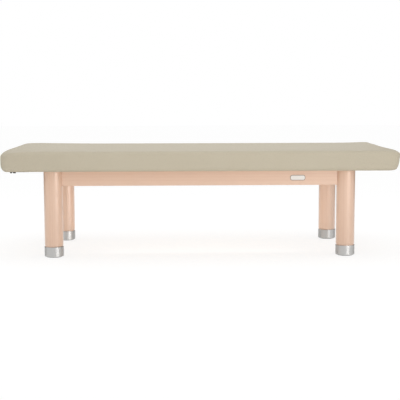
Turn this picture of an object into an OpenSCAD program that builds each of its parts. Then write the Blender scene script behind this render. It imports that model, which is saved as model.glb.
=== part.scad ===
// Thai massage table: a long, low padded top on a hardwood frame with four fat round legs.
// X runs along the table, Y across it and Z up, and the front is the -Y side.
// The origin is on the floor, under the middle of the top. All lengths are in millimetres.

/* [Overall] */
// Length of the padded top
cushion_l = 1854; // [1700:1:2100]
// Width of the padded top
cushion_w = 813; // [700:1:950]
// Height of the top of the cushion above the floor
table_h = 508; // [420:1:650]

/* [Cushion] */
// Height of the cushion, from the underside of the deck to the top of the crown
cushion_h = 95; // [80:1:130]
// Thickness of the upholstery vinyl
cover_t = 1.2; // [0.8:0.1:2]
// Radius of the cushion's corners, seen from above
corner_r = 38; // [30:1:80]
// Radius of the cushion's upper edge
top_edge_r = 14; // [8:1:25]
// Radius of the cushion's lower edge, where the foam wraps the deck
bottom_edge_r = 24; // [18:1:30]
// How far each side swells between its upper and lower edge
side_bulge = 3; // [1:0.5:6]
// How far each side draws in between the corners
side_draw = 3; // [0:0.5:8]
// Rise of the top from its edges to its middle
crown_h = 3; // [1:0.5:8]
// Distance in from the edge over which the crown rises
crown_reach = 270; // [200:5:330]
// How far the vinyl turns in under the deck
turn_in = 45; // [30:1:46]
// Height of the firm lower foam above the deck
base_foam_h = 42; // [25:1:50]

/* [Deck] */
// Thickness of the plywood deck
deck_t = 12; // [9:1:18]
// Radius of the deck's corners
deck_corner_r = 25; // [10:1:40]

/* [Frame] */
// Height of the aprons
apron_h = 76; // [70:1:110]
// Thickness of the aprons
apron_t = 25; // [20:1:32]
// Thickness of the tenons on the apron ends
tenon_t = 12; // [8:1:14]
// Height of the tenons on the apron ends
tenon_h = 50; // [35:1:55]
// Distance from the leg's axis to the end of a tenon
tenon_end = 18; // [16:1:28]
// Height of the cross rails under the deck
rail_h = 60; // [45:1:70]
// Thickness of the cross rails
rail_t = 25; // [18:1:32]
// Length of the stub tenons that hold a cross rail in the aprons
rail_tenon_l = 8; // [5:1:12]
// Height of the corner blocks
block_h = 60; // [50:1:70]
// Thickness of the corner blocks, along the diagonal
block_t = 28; // [20:1:36]
// Space between a leg and its corner block
block_gap = 12; // [6:1:20]

/* [Legs] */
// Diameter of the legs
leg_d = 88; // [80:1:89]
// Distance from the end of the cushion to the axis of a leg
leg_inset_x = 233; // [180:1:300]
// Distance from the side of the cushion to the axis of a leg
leg_inset_y = 127; // [125:1:160]

/* [Feet] */
// Height from the floor to the visible end of the wooden leg
foot_h = 50; // [44:1:60]
// Diameter of the metal foot caps
cap_d = 91; // [90:1:104]
// Thickness of the cap's wall
cap_wall = 3; // [2:0.5:5]
// Thickness of the cap's floor
cap_floor = 16; // [15:1:20]
// Travel of a foot as it is screwed out
foot_travel = 10; // [5:1:15]
// Diameter of the foot's threaded stud
stud_d = 16; // [12:1:20]
// Diameter of the threaded insert in the leg
insert_d = 24; // [22:1:30]
// Length of the threaded insert, which the stud still fills when the foot is screwed out
insert_l = 40; // [30:1:50]
// Diameter of the glide pad under the cap
pad_d = 76; // [60:1:80]
// Thickness of the glide pad
pad_t = 6; // [5:0.5:8]
// How far the glide pad stands out below the cap
pad_proud = 2; // [1:0.5:4]

/* [Face rest sockets] */
// Distance between the two sockets, centre to centre
socket_spacing = 216; // [150:1:260]
// Bore of a socket, for a 19 mm post with room to slide
socket_bore_d = 19.3; // [16:0.1:26]
// Wall of a socket's sleeve
socket_wall = 1.35; // [1:0.05:3]
// Length of a socket's sleeve
socket_l = 90; // [85:1:130]
// Radius of the flange round a socket's mouth
flange_r = 16.5; // [15:0.5:22]

/* [Plate] */
// Width of the plain oval plate on the front apron
plate_w = 72; // [50:1:100]
// Height of the plate
plate_h = 25; // [16:1:30]
// Distance from the axis of the right leg to the middle of the plate
plate_from_leg = 231; // [120:1:400]

/* [Fit] */
// Gap at a glued or scribed wood joint
joint_gap = 0.2; // [0.1:0.05:0.4]
// Gap between pieces that rest or stop against each other
seat_gap = 0.3; // [0.2:0.05:0.5]
// Radial clearance of a round part that turns or slides in its hole
running_gap = 0.05; // [0.02:0.01:0.1]
// Radial clearance of a bolt or screw in its hole
bolt_gap = 0.4; // [0.2:0.1:0.8]

/* [Hidden] */
$fn = 64;

// Colours
vinyl_colour = "#C6BCA6";
foam_colour = "#EDE6CF";
ply_colour = "#D9BE93";
maple_colour = "#DFBFA5";
steel_colour = "#B9BCBF";
alu_colour = "#BDBEC0";
black_colour = "#232323";
white_colour = "#F2F1EE";
rubber_colour = "#3A3A3A";

// Overrun of every cut past the face that it opens
cut = 1;

// Levels and places that everything shares
deck_z = table_h - cushion_h;
apron_z = deck_z - apron_h;
apron_mid_z = deck_z - apron_h / 2;
leg_x = cushion_l / 2 - leg_inset_x;
leg_y = cushion_w / 2 - leg_inset_y;
leg_r = leg_d / 2;
apron_half_t = apron_t / 2;
left_end_x = -cushion_l / 2;

// The deck ends where the cushion's underside turns flat
deck_inset = side_bulge + side_draw + bottom_edge_r + seat_gap;

// Cushion: points round an outline, and rings up its profile
corner_steps = 5;
long_side_points = 5;
short_side_points = 3;
arc_steps = 3;
soft_corner_r = 8;
top_ring_shares = [0.2, 0.52, 1];
foam_gap = seat_gap;
foam_split_z = deck_z + deck_t + base_foam_h;

// The side's flat stretch lies between its two edge radii, and is widest halfway up
side_bottom_z = deck_z - cover_t + bottom_edge_r;
side_top_z = table_h - crown_h - top_edge_r;
bulge_z = (side_bottom_z + side_top_z) / 2;

// Staples: crown, wire, leg and spacing
staple_crown = 10;
staple_wire = 0.8;
staple_leg = 8;
staple_pitch = 60;
staple_edge = 12;
staple_clear = 6;

// Cross rails and deck brackets, as shares of the distance from the middle to a leg
rail_place_shares = [-0.5, 0, 0.5];
bracket_place_shares = [-0.75, -0.25, 0.25, 0.75];
rail_tenon_t = rail_t / 2;
rail_tenon_h = rail_h * 2 / 3;
bracket_leg = 40;
bracket_w = 25;
bracket_t = 2.5;
bracket_hole_at = 25;

// Hanger bolts at the corners, M8
hanger_d = 8;
hanger_pitch = 36;
hanger_from_axis = 14;
hanger_spare = 4;
washer_d = 18;
washer_t = 1.6;
nut_flats = 13;
nut_h = 6.5;

// Pan-head wood screws
screw_d = 4;
screw_l = 12;
screw_head_d = 8;
screw_head_h = 2.5;

// Feet: from the floor up
cap_r = cap_d / 2;
cap_bore_r = cap_r - cap_wall;
cap_floor_z = pad_proud + cap_floor;
cap_top_z = foot_h - seat_gap;
cap_edge = 2.5;
cap_rim_edge = 0.8;
spigot_r = cap_bore_r - seat_gap;
spigot_gap = 2;
spigot_z = cap_floor_z + spigot_gap;
hub_d = 20;
hub_h = 4;
hub_z = pad_t + hub_h;
pad_edge = 1;
stud_z = hub_z + seat_gap;
stud_spare = 8;
stud_top_z = spigot_z + insert_l + foot_travel + stud_spare;
stud_edge = 1.5;
stud_room = 4;
stud_side_room = 1;

// Face rest sockets, from the mouth inwards
socket_r = socket_bore_d / 2 + socket_wall;
socket_setback = 5;
socket_top_z = deck_z - cover_t - seat_gap;
socket_z = socket_top_z - socket_r;
socket_mouth_x = left_end_x + socket_setback;
socket_end_t = 3;
flange_t = 8;
mouth_edge = 1;
tab_l = 20;
tab_w = 24;
tab_t = 4;
saddle_from_mouth = 14;
saddle_ring_w = 12;
saddle_plate_l = 30;
saddle_plate_t = 4;
saddle_half_w = 32;
saddle_screw_x = 21;
saddle_screw_y = 25;

// Plate on the front apron
plate_t = 2;
plate_rim = 2;
plate_back_t = 0.8;
plate_face_t = 0.8;
plate_corner_share = 0.42;
plate_drop = 3;
plate_fit = 0.1;

// One point list of a rounded corner, anticlockwise from angle a
function corner_points(cx, cy, r, a) =
    [for (i = [0:corner_steps]) let (b = a + i * 90 / corner_steps) [cx + r * cos(b), cy + r * sin(b)]];

// Points between two corners, ends left out
function side_points(p, q, n) = [for (i = [1:n]) p + (q - p) * i / (n + 1)];

// Draws a point of the outline in where it lies between the corners
function drawn_in(p, hx, hy, cx, cy) = [
    p.x * (1 - side_draw / hx * (1 - pow(min(1, abs(p.y) / cy), 2))),
    p.y * (1 - side_draw / hy * (1 - pow(min(1, abs(p.x) / cx), 2)))
];

// The cushion's outline, moved in by a given distance, as a ring at height z
function ring(inset, z) =
    let (hx = cushion_l / 2 - inset, hy = cushion_w / 2 - inset, r = max(corner_r - inset, soft_corner_r),
         cx = hx - r, cy = hy - r)
    [for (p = [
            each corner_points(cx, cy, r, 0), each side_points([cx, hy], [-cx, hy], long_side_points),
            each corner_points(-cx, cy, r, 90), each side_points([-hx, cy], [-hx, -cy], short_side_points),
            each corner_points(-cx, -cy, r, 180), each side_points([-cx, -hy], [cx, -hy], long_side_points),
            each corner_points(cx, -cy, r, 270), each side_points([hx, -cy], [hx, cy], short_side_points)])
        let (q = drawn_in(p, hx, hy, cx, cy)) [q.x, q.y, z]];

// The cushion's section as rings, for a surface that lies k inside the outer one, from below upwards
function lower_rings(k) =
    [for (i = [0:arc_steps]) let (a = i * 90 / arc_steps, r = bottom_edge_r - k)
        ring(side_bulge + bottom_edge_r - r * sin(a), side_bottom_z - r * cos(a))];
function upper_rings(k) =
    [for (i = [0:arc_steps]) let (a = i * 90 / arc_steps, r = top_edge_r - k)
        ring(side_bulge + top_edge_r - r * cos(a), side_top_z + r * sin(a))];
function crown_rings(k) =
    [for (s = top_ring_shares)
        ring(side_bulge + top_edge_r + s * crown_reach, table_h - crown_h - k + crown_h * sin(90 * s))];
function skin_rings(k) = [each lower_rings(k), ring(k, bulge_z), each upper_rings(k), each crown_rings(k)];

// The ring where the two foams meet, on the swell of the side
function foam_split_ring(k) =
    ring(k + side_bulge * min(1, abs(foam_split_z - bulge_z) / (side_top_z - bulge_z)), foam_split_z);

// A closed solid through a list of rings, capped by a fan round a centre point at each end
module ring_solid(rings, first_z, last_z) {
    n = len(rings[0]);
    count = len(rings);
    points = [for (r = rings) each r, [0, 0, first_z], [0, 0, last_z]];
    first = n * count;
    last = first + 1;
    faces = [
        for (j = [0:count - 2], i = [0:n - 1]) let (a = j * n + i, b = j * n + (i + 1) % n)
            each [[a, a + n, b + n], [a, b + n, b]],
        for (i = [0:n - 1]) [i, (i + 1) % n, first],
        for (i = [0:n - 1]) let (a = (count - 1) * n) [a + (i + 1) % n, a + i, last]
    ];
    polyhedron(points, faces);
}

module rounded_board(l, w, r, t) {
    linear_extrude(t) {
        square([l - 2 * r, w], center = true);
        square([l, w - 2 * r], center = true);
        for (x = [-1, 1], y = [-1, 1]) translate([x * (l / 2 - r), y * (w / 2 - r)]) circle(r);
    }
}

module deck_board(grow, z, t) {
    translate([0, 0, z])
        rounded_board(cushion_l - 2 * (deck_inset - grow), cushion_w - 2 * (deck_inset - grow),
            deck_corner_r + grow, t);
}

// Places children at a leg, with local +X and +Y pointing in under the table
module at_leg(x, y) {
    translate([x * leg_x, y * leg_y, 0])
        mirror([x > 0 ? 1 : 0, 0, 0]) mirror([0, y > 0 ? 1 : 0, 0]) children();
}

// Places children at each hanger bolt, with local +Z along the bolt, from the leg to the nut
module at_hangers() {
    for (z = [-1, 1])
        translate([0, 0, apron_mid_z + z * hanger_pitch / 2]) rotate([0, 90, 45]) children();
}

module cover() {
    rim = deck_inset + turn_in;
    inner = skin_rings(cover_t);
    rings = [for (i = [len(inner) - 1:-1:0]) inner[i], ring(rim, deck_z), ring(rim, deck_z - cover_t),
             each skin_rings(0)];
    color(vinyl_colour) ring_solid(rings, table_h - cover_t, table_h);
}

module foam_top() {
    k = cover_t + foam_gap;
    rings = [foam_split_ring(k), each upper_rings(k), each crown_rings(k)];
    color(foam_colour) ring_solid(rings, foam_split_z, table_h - k);
}

module foam_base() {
    k = cover_t + foam_gap;
    rings = [each lower_rings(k), ring(k, bulge_z), foam_split_ring(k)];
    color(foam_colour) difference() {
        ring_solid(rings, deck_z - cover_t + k, foam_split_z);
        deck_board(foam_gap, deck_z - cut, deck_t + cut);
    }
}

module deck() {
    color(ply_colour) deck_board(0, deck_z, deck_t);
}

module staple() {
    color(steel_colour) {
        translate([-staple_crown / 2, -staple_wire / 2, -staple_wire])
            cube([staple_crown, staple_wire, staple_wire]);
        for (x = [-staple_crown / 2, staple_crown / 2 - staple_wire])
            translate([x, -staple_wire / 2, -staple_wire])
                cube([staple_wire, staple_wire, staple_leg + staple_wire]);
    }
}

// A row of staples along a line of a given half length, leaving its middle clear of the saddles
module staple_row(half, saddles) {
    n = floor(half / staple_pitch);
    for (i = [-n:n])
        if (!saddles || abs(abs(i * staple_pitch) - socket_spacing / 2) > saddle_half_w + staple_clear)
            translate([i * staple_pitch, 0, 0]) staple();
}

module staples() {
    inset = deck_inset + turn_in - staple_edge;
    x = cushion_l / 2 - inset;
    y = cushion_w / 2 - inset;
    translate([0, 0, deck_z - cover_t]) {
        for (s = [-1, 1]) translate([0, s * y, 0]) staple_row(x - staple_pitch / 2, false);
        translate([x, 0, 0]) rotate(90) staple_row(y - staple_pitch / 2, false);
        translate([-x, 0, 0]) rotate(90) staple_row(y - staple_pitch / 2, true);
    }
}

// An apron between two legs a given distance apart, lying along X with its middle at the origin
module apron(span) {
    shoulder = leg_r + joint_gap;
    translate([0, 0, apron_z]) difference() {
        translate([-span / 2, -apron_half_t, 0]) cube([span, apron_t, apron_h]);
        for (x = [-1, 1]) translate([x * span / 2, 0, -cut]) cylinder(r = shoulder, h = apron_h + 2 * cut);
    }
    for (x = [-1, 1]) mirror([x > 0 ? 1 : 0, 0, 0])
        translate([-span / 2 + tenon_end, -tenon_t / 2, apron_mid_z - tenon_h / 2])
            cube([shoulder - tenon_end + apron_half_t, tenon_t, tenon_h]);
}

// The mortise that takes an apron's tenon, along local +X from a leg's axis
module tenon_mortise() {
    translate([tenon_end - joint_gap, -tenon_t / 2 - joint_gap, apron_mid_z - tenon_h / 2 - joint_gap])
        cube([leg_r, tenon_t + 2 * joint_gap, tenon_h + 2 * joint_gap]);
}

// A long apron, with mortises for the cross rails in the face towards +Y
module long_apron() {
    mortise_t = rail_tenon_t + 2 * joint_gap;
    mortise_h = rail_tenon_h + 2 * joint_gap;
    color(maple_colour) difference() {
        apron(2 * leg_x);
        for (s = rail_place_shares)
            translate([s * leg_x - mortise_t / 2, apron_half_t - rail_tenon_l - joint_gap,
                       deck_z - rail_h / 2 - mortise_h / 2])
                cube([mortise_t, rail_tenon_l + joint_gap + cut, mortise_h]);
    }
}

module front_apron() {
    translate([0, -leg_y, 0]) long_apron();
}

module back_apron() {
    mirror([0, 1, 0]) front_apron();
}

module end_apron(side) {
    color(maple_colour) translate([side * leg_x, 0, 0]) rotate(90) apron(2 * leg_y);
}

module cross_rail(share) {
    half = leg_y - apron_half_t;
    color(maple_colour) translate([share * leg_x, 0, 0]) {
        translate([-rail_t / 2, -half, deck_z - rail_h]) cube([rail_t, 2 * half, rail_h]);
        translate([-rail_tenon_t / 2, -half - rail_tenon_l, deck_z - rail_h / 2 - rail_tenon_h / 2])
            cube([rail_tenon_t, 2 * (half + rail_tenon_l), rail_tenon_h]);
    }
}

module corner_block(x, y) {
    near = (leg_r + block_gap) * sqrt(2) - apron_half_t;
    far = (leg_r + block_gap + block_t) * sqrt(2) - apron_half_t;
    color(maple_colour) at_leg(x, y) difference() {
        translate([0, 0, apron_mid_z - block_h / 2]) linear_extrude(block_h)
            polygon([[apron_half_t, near], [near, apron_half_t], [far, apron_half_t], [apron_half_t, far]]);
        at_hangers() translate([0, 0, leg_r])
            cylinder(d = hanger_d + 2 * bolt_gap, h = block_gap + block_t + cut);
    }
}

module hanger_bolts() {
    reach = leg_r + block_gap + block_t + washer_t + nut_h + hanger_spare;
    color(steel_colour) for (x = [-1, 1], y = [-1, 1]) at_leg(x, y) at_hangers()
        translate([0, 0, hanger_from_axis]) cylinder(d = hanger_d, h = reach - hanger_from_axis);
}

module hanger_washers() {
    color(steel_colour) for (x = [-1, 1], y = [-1, 1]) at_leg(x, y) at_hangers()
        translate([0, 0, leg_r + block_gap + block_t]) difference() {
            cylinder(d = washer_d, h = washer_t);
            translate([0, 0, -cut]) cylinder(d = hanger_d + 2 * bolt_gap, h = washer_t + 2 * cut);
        }
}

module hanger_nuts() {
    color(steel_colour) for (x = [-1, 1], y = [-1, 1]) at_leg(x, y) at_hangers()
        translate([0, 0, leg_r + block_gap + block_t + washer_t]) difference() {
            cylinder(d = nut_flats / cos(30), h = nut_h, $fn = 6);
            translate([0, 0, -cut]) cylinder(d = hanger_d + 2 * running_gap, h = nut_h + 2 * cut);
        }
}

// Places children at each deck bracket: local +X points in from the apron, local +Z up, origin at the corner
module at_brackets() {
    for (s = bracket_place_shares, y = [-1, 1])
        translate([s * leg_x, y * (leg_y - apron_half_t), deck_z]) rotate(-90 * y) children();
    for (x = [-1, 1])
        translate([x * (leg_x - apron_half_t), 0, deck_z]) rotate(x > 0 ? 180 : 0) children();
}

module deck_brackets() {
    hole_d = screw_d + 2 * bolt_gap;
    color(steel_colour) at_brackets() difference() {
        union() {
            translate([0, -bracket_w / 2, -bracket_leg]) cube([bracket_t, bracket_w, bracket_leg]);
            translate([0, -bracket_w / 2, -bracket_t]) cube([bracket_leg, bracket_w, bracket_t]);
        }
        translate([bracket_hole_at, 0, -bracket_t - cut]) cylinder(d = hole_d, h = bracket_t + 2 * cut);
        translate([-cut, 0, -bracket_hole_at]) rotate([0, 90, 0])
            cylinder(d = hole_d, h = bracket_t + 2 * cut);
    }
}

// A screw whose head lies below the origin and whose shank runs up along +Z
module screw() {
    translate([0, 0, -screw_head_h]) cylinder(d = screw_head_d, h = screw_head_h);
    cylinder(d = screw_d, h = screw_l);
}

module bracket_screws() {
    color(steel_colour) at_brackets() {
        translate([bracket_hole_at, 0, -bracket_t]) screw();
        translate([bracket_t, 0, -bracket_hole_at]) rotate([0, -90, 0]) screw();
    }
}

module leg(x, y) {
    color(maple_colour) at_leg(x, y) difference() {
        union() {
            translate([0, 0, foot_h]) cylinder(d = leg_d, h = deck_z - foot_h);
            translate([0, 0, spigot_z]) cylinder(r = spigot_r, h = foot_h - spigot_z + cut);
        }
        translate([0, 0, spigot_z - cut]) cylinder(d = insert_d, h = insert_l + cut);
        translate([0, 0, spigot_z])
            cylinder(d = stud_d + 2 * stud_side_room, h = stud_top_z + stud_room - spigot_z);
        tenon_mortise();
        rotate(90) mirror([0, 1, 0]) tenon_mortise();
        at_hangers() translate([0, 0, hanger_from_axis - joint_gap])
            cylinder(d = hanger_d + 2 * running_gap, h = leg_r);
    }
}

module leg_insert(x, y) {
    color(steel_colour) at_leg(x, y) translate([0, 0, spigot_z]) difference() {
        cylinder(r = insert_d / 2 - running_gap, h = insert_l);
        translate([0, 0, -cut]) cylinder(d = stud_d + 2 * running_gap, h = insert_l + 2 * cut);
    }
}

// A turned blank from z = 0 up, with its lower and upper outside edges broken
module turned(r, h, lower, upper) {
    rotate_extrude()
        polygon([[0, 0], [r - lower, 0], [r, lower], [r, h - upper], [r - upper, h], [0, h]]);
}

module foot_cap(x, y) {
    color(alu_colour) at_leg(x, y) difference() {
        translate([0, 0, pad_proud]) turned(cap_r, cap_top_z - pad_proud, cap_edge, cap_rim_edge);
        translate([0, 0, cap_floor_z]) cylinder(r = cap_bore_r, h = cap_top_z - cap_floor_z + cut);
        translate([0, 0, pad_proud - cut])
            cylinder(r = pad_d / 2 + seat_gap, h = pad_t + seat_gap - pad_proud + cut);
        cylinder(r = hub_d / 2 + running_gap, h = stud_z);
        cylinder(d = stud_d + 2 * running_gap, h = cap_floor_z + cut);
    }
}

module foot_stud(x, y) {
    color(steel_colour) at_leg(x, y) translate([0, 0, stud_z])
        turned(stud_d / 2, stud_top_z - stud_z, stud_edge, stud_edge);
}

module foot_pad(x, y) {
    color(rubber_colour) at_leg(x, y) {
        turned(pad_d / 2, pad_t, pad_edge, pad_edge);
        cylinder(d = hub_d, h = hub_z);
    }
}

// Cuts away everything above the underside of the turned-in vinyl
module below_cushion() {
    difference() {
        children();
        translate([left_end_x, -cushion_w / 2, socket_top_z]) cube([cushion_l, cushion_w, flange_r]);
    }
}

module face_rest_socket(side) {
    color(black_colour) difference() {
        union() {
            below_cushion() translate([socket_mouth_x, side * socket_spacing / 2, socket_z])
                rotate([0, 90, 0]) {
                    cylinder(r = socket_r, h = socket_l);
                    turned(flange_r, flange_t, mouth_edge, mouth_edge);
                }
            translate([socket_mouth_x + socket_l - socket_end_t, side * socket_spacing / 2 - tab_w / 2,
                       socket_top_z - tab_t])
                cube([socket_end_t + tab_l, tab_w, tab_t + cover_t]);
        }
        translate([socket_mouth_x - cut, side * socket_spacing / 2, socket_z]) rotate([0, 90, 0])
            cylinder(d = socket_bore_d, h = socket_l - socket_end_t + cut);
        translate([socket_mouth_x + socket_l + tab_l / 2, side * socket_spacing / 2, socket_z])
            cylinder(d = screw_d + 2 * bolt_gap, h = socket_r + cover_t + cut);
    }
}

// Places children at each saddle, on the sleeve's axis, with local +X in from the mouth
module at_saddles() {
    for (side = [-1, 1])
        translate([socket_mouth_x + saddle_from_mouth, side * socket_spacing / 2, socket_z]) children();
}

module socket_saddles() {
    color(black_colour) at_saddles() difference() {
        union() {
            rotate([0, 90, 0]) cylinder(r = flange_r, h = saddle_ring_w);
            translate([0, -saddle_half_w, socket_r - saddle_plate_t])
                cube([saddle_plate_l, 2 * saddle_half_w, saddle_plate_t]);
        }
        translate([-cut, 0, 0]) rotate([0, 90, 0])
            cylinder(r = socket_r + running_gap, h = saddle_plate_l + 2 * cut);
        translate([-cut, -flange_r, socket_r]) cube([saddle_ring_w + 2 * cut, 2 * flange_r, flange_r]);
        translate([saddle_screw_x, 0, 0]) for (y = [-1, 1]) translate([0, y * saddle_screw_y, 0])
            cylinder(d = screw_d + 2 * bolt_gap, h = socket_r + cut);
    }
}

module socket_screws() {
    color(steel_colour) at_saddles() {
        for (y = [-1, 1]) translate([saddle_screw_x, y * saddle_screw_y, socket_r - saddle_plate_t]) screw();
        translate([socket_l - saddle_from_mouth + tab_l / 2, 0, socket_r - tab_t]) screw();
    }
}

// Stands an outline drawn on the XY plane up on the front apron, facing -Y
module on_front_apron() {
    translate([leg_x - plate_from_leg, -leg_y - apron_half_t, apron_mid_z - plate_drop])
        rotate([90, 0, 0]) children();
}

module plate_blank(inset, z, t) {
    translate([0, 0, z])
        rounded_board(plate_w - 2 * inset, plate_h - 2 * inset, plate_h * plate_corner_share - inset, t);
}

module plate_frame() {
    color(alu_colour) on_front_apron() difference() {
        plate_blank(0, 0, plate_t);
        plate_blank(plate_rim, plate_back_t, plate_t);
    }
}

module plate_face() {
    color(white_colour) on_front_apron() plate_blank(plate_rim + plate_fit, plate_back_t, plate_face_t);
}

cover();
foam_top();
foam_base();
deck();
staples();
front_apron();
back_apron();
end_apron(-1);  // left_apron
end_apron(1);  // right_apron
cross_rail(rail_place_shares[0]);  // cross_rail_left
cross_rail(rail_place_shares[1]);  // cross_rail_centre
cross_rail(rail_place_shares[2]);  // cross_rail_right
corner_block(-1, -1);  // corner_block_fl
corner_block(1, -1);  // corner_block_fr
corner_block(-1, 1);  // corner_block_bl
corner_block(1, 1);  // corner_block_br
hanger_bolts();
hanger_washers();
hanger_nuts();
deck_brackets();
bracket_screws();
leg(-1, -1);  // leg_fl
leg(1, -1);  // leg_fr
leg(-1, 1);  // leg_bl
leg(1, 1);  // leg_br
leg_insert(-1, -1);  // leg_insert_fl
leg_insert(1, -1);  // leg_insert_fr
leg_insert(-1, 1);  // leg_insert_bl
leg_insert(1, 1);  // leg_insert_br
plate_frame();
plate_face();
face_rest_socket(-1);  // face_rest_socket_front
face_rest_socket(1);  // face_rest_socket_back
socket_saddles();
socket_screws();
foot_cap(-1, -1);  // foot_cap_fl
foot_cap(1, -1);  // foot_cap_fr
foot_cap(-1, 1);  // foot_cap_bl
foot_cap(1, 1);  // foot_cap_br
foot_stud(-1, -1);  // foot_stud_fl
foot_stud(1, -1);  // foot_stud_fr
foot_stud(-1, 1);  // foot_stud_bl
foot_stud(1, 1);  // foot_stud_br
foot_pad(-1, -1);  // foot_pad_fl
foot_pad(1, -1);  // foot_pad_fr
foot_pad(-1, 1);  // foot_pad_bl
foot_pad(1, 1);  // foot_pad_br
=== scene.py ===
# %% [markdown]
# # A thai massage table
# The object is a long, low padded top on a hardwood frame. Four fat round legs end in brushed metal
# foot caps. The construction comes packed from CAD, and this lesson gives it its looks: it models the
# soft top, turns the foot caps, eases the edges of the boards and gives each piece its own finish.
# The long way of the table is X, the front faces -Y, Z is up, and the floor is at zero. Lengths are in
# metres, and `mm` stands where a size is easier to read in millimetres.

# %% The frame
import math

import bmesh
import bpy
from mathutils import Matrix, Vector


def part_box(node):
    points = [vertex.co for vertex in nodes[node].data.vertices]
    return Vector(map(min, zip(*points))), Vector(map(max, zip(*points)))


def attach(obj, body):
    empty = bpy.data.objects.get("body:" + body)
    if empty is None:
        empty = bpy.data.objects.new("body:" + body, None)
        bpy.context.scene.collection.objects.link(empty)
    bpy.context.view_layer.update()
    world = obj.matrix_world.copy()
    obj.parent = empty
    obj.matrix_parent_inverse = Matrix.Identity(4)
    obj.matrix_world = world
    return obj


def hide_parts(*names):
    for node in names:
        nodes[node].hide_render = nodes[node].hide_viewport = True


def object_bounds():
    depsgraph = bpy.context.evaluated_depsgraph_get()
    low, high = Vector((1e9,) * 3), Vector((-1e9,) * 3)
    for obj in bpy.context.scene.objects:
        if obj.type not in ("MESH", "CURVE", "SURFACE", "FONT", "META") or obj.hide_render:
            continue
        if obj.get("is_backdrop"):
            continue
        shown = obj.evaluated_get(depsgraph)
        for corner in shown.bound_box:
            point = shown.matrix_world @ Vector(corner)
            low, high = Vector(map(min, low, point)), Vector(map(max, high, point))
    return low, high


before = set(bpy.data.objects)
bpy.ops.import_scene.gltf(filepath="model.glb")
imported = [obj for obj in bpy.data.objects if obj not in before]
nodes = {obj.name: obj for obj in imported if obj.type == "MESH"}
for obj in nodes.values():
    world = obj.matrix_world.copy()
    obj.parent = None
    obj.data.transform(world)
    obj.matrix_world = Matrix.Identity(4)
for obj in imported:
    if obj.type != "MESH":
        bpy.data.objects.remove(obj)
cad_low, cad_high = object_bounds()
mm = 0.001
print(f"{len(nodes)} CAD pieces, {(cad_high - cad_low).x:.3f} m long")

# %% [markdown]
# ## Camera
# The photograph is a catalogue shot from about five metres, with the lens a little above the top. A
# long lens that far away keeps the legs almost parallel. The place, pitch, yaw and roll were worked out
# from the edges of the legs, feet and top, so the render can be laid over the photograph.

# %% The camera
camera_place = Vector((-134.6, -4939.1, 761.3)) * mm
camera_pitch, camera_yaw, camera_roll = (math.radians(a) for a in (-6.058, -1.650, -0.118))
picture_width = 400
focal_pixels = 986.73
sensor_width = 36

camera = bpy.data.objects.new("camera", bpy.data.cameras.new("camera"))
bpy.context.scene.collection.objects.link(camera)
camera.data.sensor_width = sensor_width
camera.data.lens = sensor_width * focal_pixels / picture_width
camera.data.clip_end = 100
camera.matrix_world = (Matrix.Translation(camera_place) @ Matrix.Rotation(camera_yaw, 4, "Z")
                       @ Matrix.Rotation(math.pi / 2 + camera_pitch, 4, "X")
                       @ Matrix.Rotation(camera_roll, 4, "Z"))
bpy.context.scene.camera = camera
print(f"lens {camera.data.lens:.1f} mm")

# %% [markdown]
# ## Tools for materials
# A picked colour is an sRGB hex value, but a shader works in linear light, so one function turns the
# one into the other. A second one adds a node, sets it and wires it. A node tree then reads like a
# short list of steps, from coordinates to colour.

# %% Colour and node helpers
def linear(code):
    """An sRGB hex colour as the linear RGBA that Blender's sockets hold."""
    parts = [int(code[i:i + 2], 16) / 255 for i in (1, 3, 5)]
    return tuple(p / 12.92 if p <= 0.04045 else ((p + 0.055) / 1.055) ** 2.4 for p in parts) + (1,)


def new_material(name, colour, roughness, metallic=0.0, **more):
    """A material with its Principled shader, whose plain numbers are set on the sockets."""
    material = bpy.data.materials.new(name)
    material.use_nodes = True
    shader = material.node_tree.nodes["Principled BSDF"]
    shader.inputs["Base Color"].default_value = linear(colour)
    shader.inputs["Roughness"].default_value = roughness
    shader.inputs["Metallic"].default_value = metallic
    for socket, value in more.items():
        shader.inputs[socket.replace("_", " ")].default_value = value
    return material, shader


def add(material, kind, settings, sockets):
    """Adds a node. Settings are its own options, and a socket takes a value or another node's output."""
    node = material.node_tree.nodes.new(kind)
    for name, value in settings.items():
        setattr(node, name, value)
    for name, value in sockets.items():
        if isinstance(value, bpy.types.NodeSocket):
            material.node_tree.links.new(value, node.inputs[name])
        else:
            node.inputs[name].default_value = value
    return node


def per(size):
    """The scale of a texture whose grain has a real size in metres."""
    return 1 / size

# %% [markdown]
# ## Vinyl
# The cover is upholstery vinyl: PVC on a knitted backing, calendered and then pressed with a leather
# grain. It is satin, so a lamp gives it a broad soft sheen and no sharp reflection. The real grain is
# about a millimetre wide, too fine for a picture of a two metre table, so it is drawn three times as
# coarse. A slow change of tone over a hand's width keeps the large top from looking like plastic sheet.

# %% Vinyl
grain_size = 3 * mm
grain_depth = 0.12 * mm
pore_size = 0.9 * mm
tone_size = 140 * mm

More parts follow.
